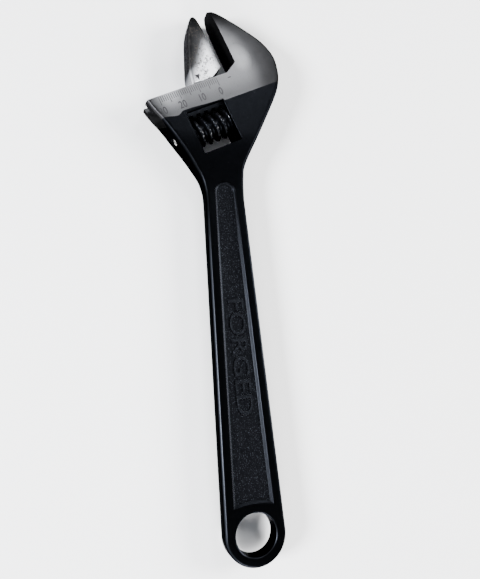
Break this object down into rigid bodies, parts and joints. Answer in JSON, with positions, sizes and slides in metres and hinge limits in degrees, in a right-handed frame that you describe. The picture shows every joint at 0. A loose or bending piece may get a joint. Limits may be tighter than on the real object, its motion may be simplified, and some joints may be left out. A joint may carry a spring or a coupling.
{
  "type": "adjustable wrench",
  "caption": "Adjustable wrench with a black forged handle, polished jaws, a worm that moves the lower jaw and a hanging hole.",
  "frame": {"origin": "centre of the bounding box at rest, on the surface the wrench lies on", "axes": "+X up the handle to the jaws, +Y to the open end of the rail that the movable jaw slides on, +Z out of the front face, which carries the scale"},
  "size_m": [0.2566, 0.0656, 0.0142],
  "materials": {
    "forged_black": "satin black coating on forged steel, ground bright on the jaw and the rail",
    "ground_steel": "ground and polished",
    "worm_black": "satin black oxide, knurled",
    "pin_steel": "bright turned steel",
    "spring_steel": "drawn wire"
  },
  "bodies": {
    "root": {"wrench_body": "forged_black", "worm_pin": "pin_steel", "worm_spring": "spring_steel"},
    "worm": {"adjusting_worm": "worm_black"},
    "jaw": {"movable_jaw": "ground_steel"}
  },
  "joints": [
    {"name": "worm_spin", "type": "hinge", "parent": "root", "child": "worm", "pos_m": [0.07042, 0.00275, 0.0071], "axis": [0.3681, -0.9298, 0], "range_deg": [-711.1, 1980.1]},
    {"name": "jaw_slide", "type": "slide", "parent": "root", "child": "jaw", "axis": [-0.3681, 0.9298, 0], "range_m": [-0.0079, 0.022]}
  ],
  "couplings": [
    {"joint": "worm_spin", "follows": "jaw_slide", "rad_per_m": 1570.8}
  ]
}
